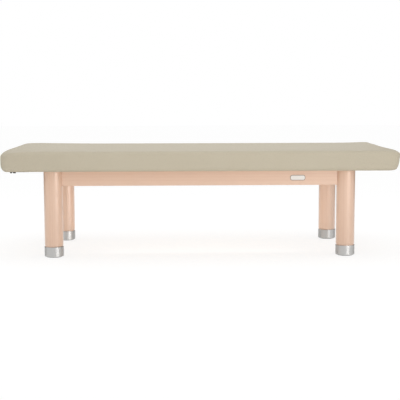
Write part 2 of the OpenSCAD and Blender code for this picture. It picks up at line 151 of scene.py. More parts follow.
vinyl, shader = new_material("embossed_vinyl", "#C3BAA5", 0.5, Specular_IOR_Level=0.15)
place = add(vinyl, "ShaderNodeTexCoord", {}, {}).outputs["Object"]
tone = add(vinyl, "ShaderNodeTexNoise", {}, {"Vector": place, "Scale": per(tone_size), "Detail": 3})
cells = add(vinyl, "ShaderNodeTexVoronoi", {"feature": "DISTANCE_TO_EDGE"},
            {"Vector": place, "Scale": per(grain_size), "Randomness": 0.9})
crease = add(vinyl, "ShaderNodeMapRange", {"interpolation_type": "SMOOTHSTEP"},
             {"Value": cells.outputs["Distance"], "From Max": 0.22})
pores = add(vinyl, "ShaderNodeTexNoise", {}, {"Vector": place, "Scale": per(pore_size), "Detail": 2})
colour = add(vinyl, "ShaderNodeMix", {"data_type": "RGBA"},
             {0: tone.outputs["Fac"], 6: linear("#C1B7A2"), 7: linear("#C5BCA8")})
# Painted shade: the creases between the grain's cells are darkened by up to 12 per cent, on top of the
# bump.
crease_shade = add(vinyl, "ShaderNodeMix", {"data_type": "RGBA", "blend_type": "MULTIPLY"},
           {0: 0.12, 6: colour.outputs[2], 7: crease.outputs["Result"]})
rough = add(vinyl, "ShaderNodeMapRange", {},
            {"Value": pores.outputs["Fac"], "To Min": 0.45, "To Max": 0.57})
height = add(vinyl, "ShaderNodeMath", {"operation": "MULTIPLY_ADD"},
             {0: pores.outputs["Fac"], 1: 0.25, 2: crease.outputs["Result"]})
bump = add(vinyl, "ShaderNodeBump", {},
           {"Height": height.outputs[0], "Strength": 0.3, "Distance": grain_depth})
vinyl.node_tree.links.new(crease_shade.outputs[2], shader.inputs["Base Color"])
vinyl.node_tree.links.new(rough.outputs["Result"], shader.inputs["Roughness"])
vinyl.node_tree.links.new(bump.outputs["Normal"], shader.inputs["Normal"])
print("vinyl grain", grain_size, "m")

# %% [markdown]
# ## Maple
# The frame is hard maple, turned or planed, sanded and sprayed with satin lacquer. Maple is even and
# pale, with a pinkish cast under lacquer. Its figure is faint: growth rings that a board cuts at a flat
# angle, and short darker flecks along the grain. Each piece gets its own material, because its grain
# runs along its own length and its board came from another part of the log. The rings are a wave round
# a pith that lies beside the piece, and the flecks are noise that is stretched along the grain. The back
# legs get a paler, greyer tone mixed into their colour. It is painted light: it stands in for the pale
# haze of shine and the cooler light on the back legs, which the lamps leave too weak on them.

# %% Maple
ring_pitch = 7 * mm
fleck_width = 1.6 * mm
fleck_stretch = 0.03
cloud_size = 90 * mm
fleck_depth = 0.05 * mm
rings_per_scale = 10 / math.pi
pith_aside = Vector((49, 70, -42)) * mm
board_shift = 0.13
# Share of painted haze: a paler, greyer tone mixed into the back legs in place of shine and light.
back_leg_painted_haze = {"leg_bl": 0.18, "leg_br": 0.22}


def maple(name, along, pith, shift, painted_haze):
    """Lacquered maple whose grain runs along an axis, round a pith at a given place."""
    wood, shader = new_material(name, "#DEBCA2", 0.42, Specular_IOR_Level=0.6, Coat_Weight=1.0,
                                Coat_Roughness=0.28)
    stretch = [fleck_stretch if axis == along else 1.0 for axis in "XYZ"]
    place = add(wood, "ShaderNodeTexCoord", {}, {}).outputs["Object"]
    centred = add(wood, "ShaderNodeMapping", {}, {"Vector": place, "Location": [-p + shift for p in pith]})
    grain = add(wood, "ShaderNodeMapping", {}, {"Vector": centred.outputs[0], "Scale": stretch})
    warp = add(wood, "ShaderNodeTexNoise", {},
               {"Vector": grain.outputs[0], "Scale": per(cloud_size), "Detail": 2})
    rings = add(wood, "ShaderNodeTexWave", {"wave_type": "RINGS", "rings_direction": along},
                {"Vector": grain.outputs[0], "Scale": per(ring_pitch * rings_per_scale),
                 "Distortion": 4.0, "Detail": 2.0, "Detail Scale": 0.6, "Phase Offset": shift})
    flecks = add(wood, "ShaderNodeTexNoise", {},
                 {"Vector": grain.outputs[0], "Scale": per(fleck_width), "Detail": 4, "Roughness": 0.6})
    cloud = add(wood, "ShaderNodeMix", {"data_type": "RGBA"},
                {0: warp.outputs["Fac"], 6: linear("#E5C1A7"), 7: linear("#E1BFA7")})
    figure = add(wood, "ShaderNodeMapRange", {"interpolation_type": "SMOOTHSTEP"},
                 {"Value": rings.outputs["Fac"], "From Min": 0.55, "To Max": 0.2})
    ringed = add(wood, "ShaderNodeMix", {"data_type": "RGBA"},
                 {0: figure.outputs["Result"], 6: cloud.outputs[2], 7: linear("#D4A98C")})
    speck = add(wood, "ShaderNodeMapRange", {},
                {"Value": flecks.outputs["Fac"], "From Min": 0.52, "From Max": 0.72, "To Max": 0.3})
    flecked = add(wood, "ShaderNodeMix", {"data_type": "RGBA"},
                  {0: speck.outputs["Result"], 6: ringed.outputs[2], 7: linear("#D1A68B")})
    # Painted haze: the colour is mixed towards a paler, greyer tone by the given share.
    toned = add(wood, "ShaderNodeMix", {"data_type": "RGBA"},
                {0: painted_haze, 6: flecked.outputs[2], 7: linear("#E3D0C3")})
    rough = add(wood, "ShaderNodeMapRange", {},
                {"Value": flecks.outputs["Fac"], "To Min": 0.38, "To Max": 0.50})
    bump = add(wood, "ShaderNodeBump", {},
               {"Height": flecks.outputs["Fac"], "Strength": 0.25, "Distance": fleck_depth})
    wood.node_tree.links.new(toned.outputs[2], shader.inputs["Base Color"])
    wood.node_tree.links.new(rough.outputs["Result"], shader.inputs["Roughness"])
    wood.node_tree.links.new(bump.outputs["Normal"], shader.inputs["Normal"])
    return wood


wooden = {
    "X": ["front_apron", "back_apron"],
    "Y": ["left_apron", "right_apron", "cross_rail_left", "cross_rail_centre", "cross_rail_right"],
    "Z": ["leg_fl", "leg_fr", "leg_bl", "leg_br"],
}
corner_blocks = ["corner_block_fl", "corner_block_fr", "corner_block_bl", "corner_block_br"]
maples = {}
for along, names in {**wooden, "Z": wooden["Z"] + corner_blocks}.items():
    for name in names:
        low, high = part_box(name)
        aside = Vector([0 if axis == along else size for axis, size in zip("XYZ", pith_aside)])
        maples[name] = maple(f"maple_{name}", along, (low + high) / 2 + aside, board_shift * len(maples),
                             back_leg_painted_haze.get(name, 0))
print(len(maples), "pieces of maple")

# %% [markdown]
# ## Plywood, metal, plastic and rubber
# The deck is birch plywood. Its veneer is peeled off a turning log, so the blade follows the growth rings
# and shows them as wide wavy figure, and the contour lines of a slow noise look the same. The foot caps
# are aluminium turned on a lathe and brushed while they spin, so the scratches run round them and a
# lamp's reflection is drawn out into an upright stripe. Screws, bolts and brackets are zinc plated steel,
# the sockets are moulded nylon, and the glide pads are rubber. The small plate on the apron has a white
# enamelled face in a rim of taupe plastic. A metal keeps the default IOR.

# %% Birch plywood
veneer_sweep = 150 * mm
veneer_lines = 12
pore_width = 1.2 * mm
pore_depth = 0.1 * mm

plywood, shader = new_material("birch_plywood", "#D9BE93", 0.62)
place = add(plywood, "ShaderNodeTexCoord", {}, {}).outputs["Object"]
grain = add(plywood, "ShaderNodeMapping", {}, {"Vector": place, "Scale": (0.08, 1.0, 1.0)})
sweep = add(plywood, "ShaderNodeTexNoise", {},
            {"Vector": grain.outputs[0], "Scale": per(veneer_sweep), "Detail": 1})
levels = add(plywood, "ShaderNodeMath", {"operation": "MULTIPLY"},
             {0: sweep.outputs["Fac"], 1: veneer_lines})
contour = add(plywood, "ShaderNodeMath", {"operation": "PINGPONG"}, {0: levels.outputs[0], 1: 0.5})
pores = add(plywood, "ShaderNodeTexNoise", {},
            {"Vector": grain.outputs[0], "Scale": per(pore_width), "Detail": 3})
figure = add(plywood, "ShaderNodeMix", {"data_type": "RGBA"},
             {0: contour.outputs[0], 6: linear("#DFC59C"), 7: linear("#CBA97B")})
veneer = add(plywood, "ShaderNodeMix", {"data_type": "RGBA", "blend_type": "MULTIPLY"},
             {0: 0.25, 6: figure.outputs[2], 7: pores.outputs["Color"]})
bump = add(plywood, "ShaderNodeBump", {},
           {"Height": pores.outputs["Fac"], "Strength": 0.3, "Distance": pore_depth})
plywood.node_tree.links.new(veneer.outputs[2], shader.inputs["Base Color"])
plywood.node_tree.links.new(bump.outputs["Normal"], shader.inputs["Normal"])
print("veneer figure about", veneer_sweep, "m wide")

# %% Brushed aluminium
scratch_width = 0.5 * mm
scratch_depth = 0.03 * mm


def brushed(name, colour, roughness, stretch):
    """A metal with fine scratches, long where the stretch of an axis is small."""
    metal, shader = new_material(name, colour, roughness, 1.0)
    place = add(metal, "ShaderNodeTexCoord", {}, {}).outputs["Object"]
    lines = add(metal, "ShaderNodeMapping", {}, {"Vector": place, "Scale": stretch})
    scratches = add(metal, "ShaderNodeTexNoise", {},
                    {"Vector": lines.outputs[0], "Scale": per(scratch_width), "Detail": 4,
                     "Roughness": 0.7})
    tint = add(metal, "ShaderNodeMix", {"data_type": "RGBA", "blend_type": "MULTIPLY"},
               {0: 0.25, 6: linear(colour), 7: scratches.outputs["Fac"]})
    rough = add(metal, "ShaderNodeMapRange", {},
                {"Value": scratches.outputs["Fac"], "To Min": roughness - 0.08, "To Max": roughness + 0.1})
    bump = add(metal, "ShaderNodeBump", {},
               {"Height": scratches.outputs["Fac"], "Strength": 0.3, "Distance": scratch_depth})
    metal.node_tree.links.new(tint.outputs[2], shader.inputs["Base Color"])
    metal.node_tree.links.new(rough.outputs["Result"], shader.inputs["Roughness"])
    metal.node_tree.links.new(bump.outputs["Normal"], shader.inputs["Normal"])
    return metal


turned_aluminium = brushed("turned_aluminium", "#CDCCCA", 0.42, (0.02, 0.02, 1.0))
shader = turned_aluminium.node_tree.nodes["Principled BSDF"]
shader.inputs["Anisotropic"].default_value = 0.7
shader.inputs["Anisotropic Rotation"].default_value = 0.25
add(turned_aluminium, "ShaderNodeTangent", {"direction_type": "RADIAL", "axis": "Z"}, {})
turned_aluminium.node_tree.links.new(turned_aluminium.node_tree.nodes["Tangent"].outputs[0],
                                     shader.inputs["Tangent"])
zinc = brushed("zinc_plated_steel", "#B9BCC0", 0.38, (1.0, 1.0, 1.0))
print("metal scratches", scratch_width, "m wide")

# %% Enamel, nylon and rubber
speckle_size = 1.5 * mm


def moulded(name, colour, roughness, depth, **more):
    """A cast or moulded skin: one colour with a fine texture that breaks up its shine."""
    skin, shader = new_material(name, colour, roughness, **more)
    place = add(skin, "ShaderNodeTexCoord", {}, {}).outputs["Object"]
    speckle = add(skin, "ShaderNodeTexNoise", {},
                  {"Vector": place, "Scale": per(speckle_size), "Detail": 3})
    rough = add(skin, "ShaderNodeMapRange", {},
                {"Value": speckle.outputs["Fac"], "To Min": roughness - 0.06, "To Max": roughness + 0.06})
    bump = add(skin, "ShaderNodeBump", {},
               {"Height": speckle.outputs["Fac"], "Strength": 0.4, "Distance": depth})
    skin.node_tree.links.new(rough.outputs["Result"], shader.inputs["Roughness"])
    skin.node_tree.links.new(bump.outputs["Normal"], shader.inputs["Normal"])
    return skin


enamel = moulded("white_enamel", "#F0EEEA", 0.25, 0.02 * mm, Coat_Weight=0.4)
taupe_plastic = moulded("taupe_plastic", "#857165", 0.45, 0.05 * mm)
nylon = moulded("black_nylon", "#302E2B", 0.5, 0.08 * mm)
rubber = moulded("black_rubber", "#3A3A3A", 0.75, 0.1 * mm)
print("hard finishes ready")

# %% [markdown]
# ## The padded top
# The top is two layers of foam on the plywood deck, wrapped in one sheet of vinyl that is pulled over the
# edges and stapled underneath. Foam rounds the edges, so there is no straight box edge anywhere: the
# top rises towards its middle, the sides swell between their upper and lower edge, and they draw in a
# little between the corners, where the pull of the vinyl isn't held. It starts as a cube with its
# upright, upper and lower edges bevelled. It is then cut into small squares, so that each point can move.
# The corners at the right are tighter than those at the left, as the photograph shows them.

# %% Sizes of the top
left_corner_r = 42 * mm
right_corner_r = 27 * mm
top_edge_r = 12 * mm
bottom_edge_r = 13 * mm
side_room = 1.5 * mm
side_draw = 3 * mm
crown_h = 5 * mm
crown_reach = 270 * mm
square = 15 * mm
corner_segments, top_segments, bottom_segments = 8, 5, 6
hair = 1e-5

cover_low, cover_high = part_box("cover")
deck_low, deck_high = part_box("deck")
half_l, half_w = cover_high.x - side_room, cover_high.y - side_room
straight_x, straight_y = half_l - left_corner_r, half_w - left_corner_r
edge_high = cover_high.z - crown_h
print(f"top {2 * cover_high.x:.3f} x {2 * cover_high.y:.3f} m, {cover_high.z - cover_low.z:.4f} m high")


# %% A block with rounded edges
def bevel(bm, edges, radius, segments):
    """Rounds edges with the same result as the editor's Bevel tool."""
    bmesh.ops.bevel(bm, geom=edges, offset=radius, offset_type="OFFSET", segments=segments, profile=0.5,
                    affect="EDGES", material=-1)


def slices(bm, axis, first, last, pitch):
    """Cuts the mesh straight through at even steps along an axis."""
    count = round((last - first) / pitch)
    for i in range(count + 1):
        bmesh.ops.bisect_plane(bm, geom=bm.verts[:] + bm.edges[:] + bm.faces[:], dist=hair,
                               plane_co=axis * (first + (last - first) * i / count), plane_no=axis)


def edges_at(bm, height):
    """The edges that lie flat at a height."""
    return [e for e in bm.edges if all(abs(v.co.z - height) < hair for v in e.verts)]


top_mesh = bmesh.new()
bmesh.ops.create_cube(top_mesh, size=1)
bmesh.ops.scale(top_mesh, vec=(2 * half_l, 2 * half_w, edge_high - cover_low.z), verts=top_mesh.verts)
bmesh.ops.translate(top_mesh, vec=(0, 0, (edge_high + cover_low.z) / 2), verts=top_mesh.verts)
for side, radius in ((-1, left_corner_r), (1, right_corner_r)):
    bevel(top_mesh, [e for e in top_mesh.edges if abs(e.verts[0].co.z - e.verts[1].co.z) > hair
                     and all(abs(v.co.x - side * half_l) < hair for v in e.verts)],
          radius, corner_segments)
bevel(top_mesh, edges_at(top_mesh, edge_high), top_edge_r, top_segments)
bevel(top_mesh, edges_at(top_mesh, cover_low.z), bottom_edge_r, bottom_segments)
slices(top_mesh, Vector((1, 0, 0)), -straight_x, half_l - right_corner_r, square)
slices(top_mesh, Vector((0, 1, 0)), -straight_y, straight_y, square)
slices(top_mesh, Vector((0, 0, 1)), cover_low.z + bottom_edge_r, edge_high - top_edge_r, square)
print(len(top_mesh.faces), "faces in the block")


# %% [markdown]
# ## The swell of the top
# A few short formulas push the block into the shape of stuffed foam. They follow the same sizes as the
# solid that the tests use, so the outline stays within a few millimetres of it. Each point asks how deep
# it lies inside the outline and which way is out. No upholstered top is quite even: the ends stand a
# little higher than the middle and round off sooner, and the far half of the right end is higher still.
# The corners at the right lean outwards, where the vinyl folds thicker over them, and the two near corners
# are rounder. The sides start a little hollow and the top almost flat, because the pull of the vinyl, in
# the next step, adds the swell. Each entry of the list of ears is a place, as shares of half the length and
# half the width, then a lift, a push outwards and a reach.

# %% Swell
first_hollow = 1.0 * mm
first_crown = 1.0 * mm
end_lifts = {-1: (4.5 * mm, 250 * mm), 1: (2.0 * mm, 50 * mm)}
end_softness = {-1: 5.0 * mm, 1: 1.0 * mm}
soft_reach = 30 * mm
tucks = {-1: (10 * mm, 26 * mm), 1: (9 * mm, 36 * mm)}
tuck_height = 36 * mm
ears = [(1, 0.8, 4 * mm, 3 * mm, 90 * mm), (1, 0.35, 3 * mm, 0, 110 * mm),
        (1, -1, -7.5 * mm, 5 * mm, 50 * mm), (-1, -1, -8 * mm, 0, 130 * mm),
        (-1, -1, -9 * mm, 0, 40 * mm), (-1, -1, -14 * mm, -3 * mm, 27 * mm)]
lean_share = 0.6
side_low, side_high = cover_low.z + bottom_edge_r, edge_high - top_edge_r


def bell(away, reach):
    """One at no distance, falling smoothly to nothing past the reach."""
    return math.exp(-(away / reach) ** 2)


def inside(x, y):
    """How deep a point lies inside the outline, and the way out from there."""
    corner_r = right_corner_r if x > 0 else left_corner_r
    over = Vector((abs(x) - half_l + corner_r, abs(y) - half_w + corner_r))
    if over.x > 0 and over.y > 0:
        depth, way = corner_r - over.length, over.normalized()
    else:
        depth, way = corner_r - max(over), Vector((over.x > over.y, over.x <= over.y))
    return depth, Vector((math.copysign(way.x, x), math.copysign(way.y, y), 0))


def swollen(point):
    """Where a point of the plain block goes on the stuffed top."""
    x, y, z = point
    depth, way = inside(x, y)
    halfway = min(1, max(0, (z - side_low) / (side_high - side_low)))
    out = -first_hollow * math.sin(math.pi * halfway) ** 2
    rise = first_crown * math.sin(math.pi / 2 * min(1, max(0, depth) / crown_reach)) * halfway
    for side, (lift, reach) in end_lifts.items():
        from_end = half_l - side * x
        rise += lift * bell(from_end, reach) * halfway ** 2
        rise -= end_softness[side] * max(0, 1 - from_end / soft_reach) ** 2 * halfway ** 2
        tuck, tuck_reach = tucks[side]
        low_corner = max(0, 1 - from_end / tuck_reach) * max(0, 1 - (z - cover_low.z) / tuck_height) ** 2
        rise += tuck * low_corner
        out -= tuck * low_corner
    for side_x, side_y, lift, push, reach in ears:
        near = bell(Vector((x - side_x * half_l, y - side_y * half_w)).length, reach)
        rise += lift * near * halfway ** 2
        out += push * near * ((1 + lean_share) * halfway - lean_share)
    drawn_x = 1 - side_draw / half_l * (1 - min(1, abs(y) / straight_y) ** 2)
    drawn_y = 1 - side_draw / half_w * (1 - min(1, abs(x) / straight_x) ** 2)
    return Vector((x * drawn_x, y * drawn_y, z + rise)) + way * out * max(0, 1 - depth / bottom_edge_r)


for vert in top_mesh.verts:
    vert.co = swollen(vert.co)
cushion = bpy.data.objects.new("cushion", bpy.data.meshes.new("cushion"))
bpy.context.scene.collection.objects.link(cushion)
top_mesh.to_mesh(cushion.data)
top_mesh.free()
print("swollen by", round(max(v.co.z for v in cushion.data.vertices) - edge_high, 5), "m at the most")

# %% [markdown]
# ## The pull of the vinyl
# Formulas give an even shape, and a real cover isn't even: the foam presses the skin outwards, and the
# skin's own tension spreads that push over the faces and round the corners. A cloth simulation does
# this. Pressure fills the skin from inside, the stapled edge below is pinned, and weak pins over the rest
# stand for the foam, which holds each point near its place. The middle of the top rises, the sides
# swell, and the edges between them are pulled in, as on any stuffed cover. No point may move further
# than a few millimetres, because upholstery foam is firm. The moves are then averaged with those of
# their neighbours a few times, because foam bears no wrinkle as short as a square of this mesh.

# %% Cloth simulation
pinned_below = cover_low.z + bottom_edge_r / 2
foam_hold = 0.25
pressure = 4
press_frames = 20
furthest = 4 * mm
calm_rounds = 6


def calmed(moves, edges):
    """Each move averaged with the moves of the points next to it."""
    sums, counts = [move.copy() for move in moves], [1] * len(moves)
    for edge in edges:
        for here, there in (edge.vertices, reversed(edge.vertices)):
            sums[here] += moves[there]
            counts[here] += 1
    return [total / count for total, count in zip(sums, counts)]


def press(piece):
    """Inflates the piece as cloth and keeps each point near where it started."""
    start = [v.co.copy() for v in piece.data.vertices]
    held = piece.vertex_groups.new(name="held")
    for index, place in enumerate(start):
        up = min(1, max(0, (place.z - pinned_below) / (side_low + square - pinned_below)))
        held.add([index], 1 - (1 - foam_hold) * up, "REPLACE")
    cloth = piece.modifiers.new("vinyl", "CLOTH")
    cloth.settings.use_pressure = True
    cloth.settings.uniform_pressure_force = pressure
    cloth.settings.effector_weights.gravity = 0
    cloth.settings.vertex_group_mass = held.name
    cloth.settings.pin_stiffness = 1
    cloth.point_cache.frame_start, cloth.point_cache.frame_end = 1, press_frames
    for frame_number in range(1, press_frames + 1):
        bpy.context.scene.frame_set(frame_number)
    pressed = piece.evaluated_get(bpy.context.evaluated_depsgraph_get()).data
    moves = [v.co - place for v, place in zip(pressed.vertices, start)]
    piece.modifiers.remove(cloth)
    piece.vertex_groups.clear()
    moves = [move * min(1, furthest / max(move.length, hair)) for move in moves]
    for _ in range(calm_rounds):
        moves = calmed(moves, piece.data.edges)
    for vert, place, move in zip(piece.data.vertices, start, moves):
        vert.co = place + move
    bpy.context.scene.frame_set(1)
    return sorted(move.length for move in moves)


lengths = press(cushion)
print(f"half the points moved over {lengths[len(lengths) // 2]:.5f} m, none over {lengths[-1]:.5f} m")

# %% Subdivision
def bake(piece, kind, **settings):
    """Puts the mesh that a modifier makes in place of the piece's own."""
    modifier = piece.modifiers.new("step", kind)
    for name, value in settings.items():
        setattr(modifier, name, value)
    finished = piece.evaluated_get(bpy.context.evaluated_depsgraph_get())
    mesh = bpy.data.meshes.new_from_object(finished)
    piece.modifiers.remove(modifier)
    piece.data = mesh


bake(cushion, "SUBSURF", levels=1, render_levels=1)
print(len(cushion.data.polygons), "faces after subdivision")

# %% [markdown]
# ## Under the top
# Underneath, the vinyl turns in by 45 mm over the deck and ends in a cut edge behind a row of staples. At
# each corner the sheet has too much width for the short way round, so it is laid in pleats, which lean
# over each other like the folds of a parcel. The pleats are a sawtooth in the angle round a point inside
# the corner, and they start flat at the edge. The middle is cut open, and the inside of the cut follows
# the deck, so that the plywood shows from below as it does on the real table.

# %% Pleats and the opening
turn_in = 45 * mm
deck_gap = 0.3 * mm
pleats = 5
pleat_depth = 1.6 * mm
pleat_reach = 60 * mm
pleat_start = 30 * mm
pleat_lean = 0.75
smooth_limit = math.radians(40)


def pleat(x, y):
    """How far the folded vinyl stands down from the underside near a corner."""
    across = Vector((abs(x) - straight_x + pleat_reach, abs(y) - straight_y + pleat_reach))
    if min(across) <= 0:
        return 0
    turn = math.atan2(across.y, across.x) / (math.pi / 2)
    lap = turn * pleats % 1
    fold = min(lap / pleat_lean, (1 - lap) / (1 - pleat_lean)) * math.sin(math.pi * turn) ** 2
    from_edge = min(1, max(0, inside(x, y)[0]) / pleat_start) ** 2
    return pleat_depth * fold * min(1, across.length / pleat_reach) * from_edge


under = bmesh.new()
under.from_mesh(cushion.data)
for vert in under.verts:
    low_share = min(1, max(0, 1 - (vert.co.z - cover_low.z) / bottom_edge_r))
    vert.co.z -= pleat(vert.co.x, vert.co.y) * low_share ** 3

rim_x, rim_y = deck_high.x - turn_in, deck_high.y - turn_in
for axis, place in ((0, rim_x), (0, -rim_x), (1, rim_y), (1, -rim_y)):
    normal = Vector((axis == 0, axis == 1, 0))
    floor_faces = [f for f in under.faces if f.calc_center_median().z < cover_low.z + mm]
    near = {v for f in floor_faces for v in f.verts} | {e for f in floor_faces for e in f.edges}
    bmesh.ops.bisect_plane(under, geom=list(near) + floor_faces, dist=hair, plane_co=normal * place,
                           plane_no=normal)
middle = [f for f in under.faces if f.calc_center_median().z < cover_low.z + mm
          and abs(f.calc_center_median().x) < rim_x and abs(f.calc_center_median().y) < rim_y]
bmesh.ops.delete(under, geom=middle, context="FACES")


def step(bm, edges, scale, lift):
    """Extrudes a rim, scales it about the middle of the table and lifts it."""
    made = bmesh.ops.extrude_edge_only(bm, edges=edges)["geom"]
    verts = [v for v in made if isinstance(v, bmesh.types.BMVert)]
    bmesh.ops.scale(bm, vec=scale, verts=verts)
    bmesh.ops.translate(bm, vec=(0, 0, lift), verts=verts)
    return [e for e in made if isinstance(e, bmesh.types.BMEdge)]


rim = [e for e in under.edges if e.is_boundary]
for vert in {v for e in rim for v in e.verts}:
    vert.co.z = cover_low.z
pocket = Vector(((deck_high.x + deck_gap) / rim_x, (deck_high.y + deck_gap) / rim_y, 1))
rim = step(under, rim, (1, 1, 1), deck_low.z - deck_gap - cover_low.z)
rim = step(under, rim, pocket, 0)
rim = step(under, rim, (1, 1, 1), deck_high.z - deck_low.z + 2 * deck_gap)
bmesh.ops.contextual_create(under, geom=rim)
bmesh.ops.recalc_face_normals(under, faces=under.faces)
for face in under.faces:
    face.smooth = True
under.to_mesh(cushion.data)
under.free()
cushion.data.set_sharp_from_angle(angle=smooth_limit)
cushion.data.materials.append(vinyl)
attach(cushion, "table")
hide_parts("cover", "foam_top", "foam_base")
print(len(cushion.data.polygons), "faces in the top")

# %% [markdown]
# ## Foot caps
# Each foot cap is turned from aluminium bar: a cup that the end of the leg stands in, with a recess
# below for the rubber glide pad and a bore for the levelling stud. A lathe makes round shapes from a
# profile, and so does Spin. The profile is one closed outline, spun once round. The turned corners are
# then rounded with a bevel, because a sharp corner of real metal is always broken with a file. Small
# rounds between large faces need weighted normals, which keep the large faces flat in the shading.

# %% Turned pieces
turn_steps = 96
metal_segments = 5
foot_corner = 4.5 * mm
rim_corner = 1.2 * mm


def spun(outline, centre, soft_corners):
    """A mesh spun from (radius, height) points, with some of its round edges bevelled."""
    bm = bmesh.new()
    verts = [bm.verts.new((r, 0, z)) for r, z in outline]
    edges = [bm.edges.new((a, b)) for a, b in zip(verts, verts[1:] + verts[:1])]
    bmesh.ops.spin(bm, geom=verts + edges, cent=(0, 0, 0), axis=(0, 0, 1), angle=2 * math.pi,
                   steps=turn_steps, use_merge=True)
    bmesh.ops.remove_doubles(bm, verts=bm.verts, dist=hair)
    bmesh.ops.recalc_face_normals(bm, faces=bm.faces)
    for radius, height, size in soft_corners:
        ring = [e for e in bm.edges if all(
            abs(v.co.xy.length - radius) < hair and abs(v.co.z - height) < hair for v in e.verts)]
        bevel(bm, ring, size, metal_segments)
    bmesh.ops.translate(bm, vec=centre, verts=bm.verts)
    return bm


def piece(name, bm, material, body, slot, *stands_for):
    """Makes a mesh a piece of the table: its finish, its body and the CAD node that it stands for."""
    for face in bm.faces:
        face.smooth = True
    made = bpy.data.objects.new(name, bpy.data.meshes.new(name))
    bpy.context.scene.collection.objects.link(made)
    bm.to_mesh(made.data)
    bm.free()
    made.data.materials.append(material)
    made.data.set_sharp_from_angle(angle=smooth_limit)
    bake(made, "WEIGHTED_NORMAL", keep_sharp=True)
    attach(made, body)
    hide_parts(*stands_for)
    return made


# %% Four caps
cap_wall = 3 * mm
cap_floor = 16 * mm
running_gap = 0.05 * mm
seat_gap = 0.3 * mm
hub_r, hub_top = 10 * mm, 10 * mm
pad_seat = 6 * mm
for corner in ("fl", "fr", "bl", "br"):
    low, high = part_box(f"foot_cap_{corner}")
    pad_low, pad_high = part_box(f"foot_pad_{corner}")
    stud_low, stud_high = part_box(f"foot_stud_{corner}")
    cap_r, bore_r = (high.x - low.x) / 2, (high.x - low.x) / 2 - cap_wall
    recess_r = (pad_high.x - pad_low.x) / 2 + seat_gap
    stud_r = (stud_high.x - stud_low.x) / 2 + running_gap
    recess_top = pad_seat + seat_gap
    cup = low.z + cap_floor
    profile = [(cap_r, low.z), (cap_r, high.z), (bore_r, high.z), (bore_r, cup), (stud_r, cup),
               (stud_r, hub_top + seat_gap), (hub_r + running_gap, hub_top + seat_gap),
               (hub_r + running_gap, recess_top), (recess_r, recess_top), (recess_r, low.z)]
    centre = Vector(((low.x + high.x) / 2, (low.y + high.y) / 2, 0))
    soft_corners = [(cap_r, low.z, foot_corner), (cap_r, high.z, rim_corner)]
    piece(f"turned_cap_{corner}", spun(profile, centre, soft_corners), turned_aluminium,
          f"foot_{corner}", "aluminium", f"foot_cap_{corner}")
print("four caps,", round(2 * cap_r, 4), "m across")

# %% [markdown]
# ## Eased wood
# No cabinet maker leaves a planed edge sharp: it is eased with a few strokes of sandpaper, and the
# lacquer then holds on it. The aprons, rails and legs are copies of the CAD pieces. Their loose triangles
# are merged and flat faces are joined up again. The four long edges of each board then get a small
# round. A narrow groove is turned round the foot of each leg, as the lathe leaves it where the wood
# meets the metal, and it shows as a fine dark line.

# %% Aprons and rails
def merged(name):
    """A copy of a CAD piece whose loose triangles are joined up into whole faces."""
    bm = bmesh.new()
    bm.from_mesh(nodes[name].data)
    bmesh.ops.remove_doubles(bm, verts=bm.verts, dist=hair)
    bmesh.ops.dissolve_limit(bm, angle_limit=math.radians(1), verts=bm.verts, edges=bm.edges)
    return bm


ease_r = 2.5 * mm
ease_segments = 3
for name in wooden["X"] + wooden["Y"]:
    low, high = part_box(name)
    bm = merged(name)
    across = 1 if name in wooden["X"] else 0
    long_edges = [e for e in bm.edges if all(
        min(abs(v.co[i] - low[i]), abs(v.co[i] - high[i])) < hair for v in e.verts for i in (across, 2))
        and abs(e.verts[0].co[1 - across] - e.verts[1].co[1 - across]) > ease_r * 4]
    bevel(bm, long_edges, ease_r, ease_segments)
    piece(f"eased_{name}", bm, maples[name], "table", "maple", name)
    print(name, len(long_edges), "long edges eased")

# %% Legs
groove_height = 6 * mm
groove_depth = 5 * mm
waist_height = 2.4 * mm


def ring_at(bm, height, centre, radius):
    """The points of a round skin at a height."""
    return [v for v in bm.verts
            if abs(v.co.z - height) < 10 * hair and (v.co - centre).xy.length > radius - mm]


for name in wooden["Z"]:
    low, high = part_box(name)
    centre, leg_r = (low + high) / 2, (high.x - low.x) / 2
    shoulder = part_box(name.replace("leg", "foot_cap"))[1].z
    bm = merged(name)
    for height in (shoulder + groove_height, shoulder + waist_height):
        bmesh.ops.bisect_plane(bm, geom=bm.verts[:] + bm.edges[:] + bm.faces[:], dist=hair,
                               plane_co=(0, 0, height), plane_no=(0, 0, 1))
    waist = ring_at(bm, shoulder + waist_height, centre, leg_r)
    for vert in waist:
        away = (vert.co - centre).xy
        vert.co.xy = centre.xy + away * (1 - groove_depth / away.length)
    piece(f"turned_{name}", bm, maples[name], "table", "maple", name)
    print(name, len(waist), "points round the groove")

# %% [markdown]
# ## Finishes on the CAD pieces
# The other pieces keep their CAD shape, which is exact, and only take on a material.

# %% Finishes
finishes = {**maples, "deck": plywood, "plate_frame": taupe_plastic, "plate_face": enamel}
for name in ("face_rest_socket_front", "face_rest_socket_back", "socket_saddles"):
    finishes[name] = nylon
for corner in ("fl", "fr", "bl", "br"):
    finishes[f"foot_pad_{corner}"] = rubber
for name, node in nodes.items():
    node.data.materials.clear()
    node.data.materials.append(finishes.get(name, zinc))
print(len(finishes), "pieces with a finish of their own, the rest zinc plated")

# %% [markdown]
# ## Floor and light
# A product studio has a white paper floor and large soft lamps, and this table has a wide top that would
# keep its own frame in the shade. So the light comes mostly from low down. The world glows brighter near
# the horizon than above, and its mean is about one, at which a colour looks as it is written. An overhead
# lamp lights the top, a wide fill stands behind the camera, and strips that lie on the floor light the
# aprons and the inner sides of the legs. A small lamp under the table lights the back legs. No lamp is
# seen by the camera.
#
# Shine is lit apart from colour. A softbox in front of the right end is seen only in shine: it draws the
# upright stripe down each leg and cap, and a pale haze on the lacquer at the right end of the apron. A
# narrow one in front of the middle does the same for the back left leg alone. Two black cards beside the
# table show only in shine too, and draw a dark line down the edges of the metal. The paper floor looks
# white to the camera and to the metal, and it keeps the table's soft shadow.

